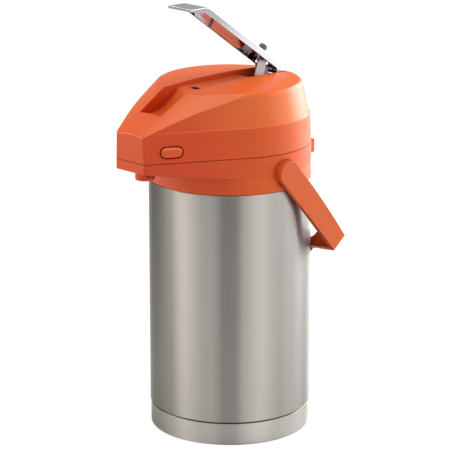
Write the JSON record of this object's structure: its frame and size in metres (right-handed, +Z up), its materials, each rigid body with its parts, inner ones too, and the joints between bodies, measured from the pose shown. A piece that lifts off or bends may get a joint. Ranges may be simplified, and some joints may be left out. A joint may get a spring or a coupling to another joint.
{
  "type": "beverage dispenser",
  "caption": "Lever-action vacuum airpot: brushed steel vessel, orange plastic pump head with pouring nose, raised chrome lever and swinging bail handle.",
  "frame": {"origin": "centre of the underside, on the surface the object stands on", "axes": "+Z up; the pouring nose points to -Y; the lid hinge is at +Y; +X is the left side of someone facing the nose's direction"},
  "size_m": [0.1868, 0.2479, 0.4437],
  "materials": {
    "brushed_steel": "brushed",
    "steel_liner": "satin",
    "orange_plastic": "satin moulded",
    "chrome": "polished",
    "grey_plastic": "satin moulded",
    "black_plastic": "matt moulded",
    "white_plastic": "satin moulded",
    "silicone": "matt",
    "black_rubber": "matt",
    "pin_steel": "turned"
  },
  "bodies": {
    "vessel": {"outer_shell": "brushed_steel", "base_cup": "brushed_steel", "base_pad": "black_rubber", "inner_liner": "steel_liner", "collar": "orange_plastic", "neck_seal": "silicone", "stopper": "white_plastic", "valve_body": "white_plastic", "dip_tube": "white_plastic", "hinge_pin": "pin_steel", "handle_pivot_pins": "pin_steel"},
    "lid": {"lid_cover": "orange_plastic", "lid_inner_plate": "white_plastic", "lid_gasket": "silicone", "lid_screws": "pin_steel", "pump_housing": "white_plastic", "bellows": "black_rubber", "pump_spring": "pin_steel", "discharge_pipe": "silicone", "outlet_seal": "silicone", "nozzle": "orange_plastic", "nozzle_guard": "orange_plastic", "lever_catch": "black_plastic", "lever_axle": "pin_steel"},
    "lever": {"lever": "chrome", "lever_hook": "grey_plastic", "link_pin": "pin_steel"},
    "lock": {"lever_lock": "grey_plastic"},
    "link": {"push_link": "grey_plastic"},
    "plunger": {"plunger_cap": "white_plastic"},
    "button_left": {"release_button_left": "orange_plastic", "button_spring_left": "pin_steel"},
    "button_right": {"release_button_right": "orange_plastic", "button_spring_right": "pin_steel"},
    "handle": {"bail_handle": "orange_plastic"},
    "valve_ball": {"spill_valve_ball": "pin_steel"}
  },
  "joints": [
    {"name": "lid_hinge", "type": "hinge", "parent": "vessel", "child": "lid", "pos_m": [0, 0.0886, 0.283], "axis": [-1, 0, 0], "range_deg": [0, 85]},
    {"name": "lever_hinge", "type": "hinge", "parent": "lid", "child": "lever", "pos_m": [0, 0.0593, 0.3595], "axis": [1, 0, 0], "range_deg": [0, 35]},
    {"name": "link_hinge", "type": "hinge", "parent": "lever", "child": "link", "pos_m": [0, 0.0483, 0.372], "axis": [1, 0, 0], "range_deg": [-27, 1]},
    {"name": "plunger_slide", "type": "slide", "parent": "lid", "child": "plunger", "axis": [0, 0, -1], "range_m": [-0.0005, 0.0105], "deforming": ["bellows", "pump_spring"]},
    {"name": "lock_slide", "type": "slide", "parent": "lever", "child": "lock", "axis": [0, 0.8181, -0.575], "range_m": [0, 0.0045]},
    {"name": "button_left_slide", "type": "slide", "parent": "lid", "child": "button_left", "axis": [-0.88, 0.4749, 0], "range_m": [0, 0.0025], "stiffness_N_per_m": 400},
    {"name": "button_right_slide", "type": "slide", "parent": "lid", "child": "button_right", "axis": [0.88, 0.4749, 0], "range_m": [0, 0.0025], "stiffness_N_per_m": 400},
    {"name": "handle_hinge", "type": "hinge", "parent": "vessel", "child": "handle", "pos_m": [0, -0.004, 0.2815], "axis": [-1, 0, 0], "range_deg": [-140, 0]},
    {"name": "ball_slide", "type": "slide", "parent": "vessel", "child": "valve_ball", "axis": [0, 0, 1], "range_m": [0, 0.004]}
  ],
  "couplings": [
    {"joint": "link_hinge", "follows": "lever_hinge", "ratio": -0.7544},
    {"joint": "plunger_slide", "follows": "lever_hinge", "m_per_rad": 0.01648}
  ]
}
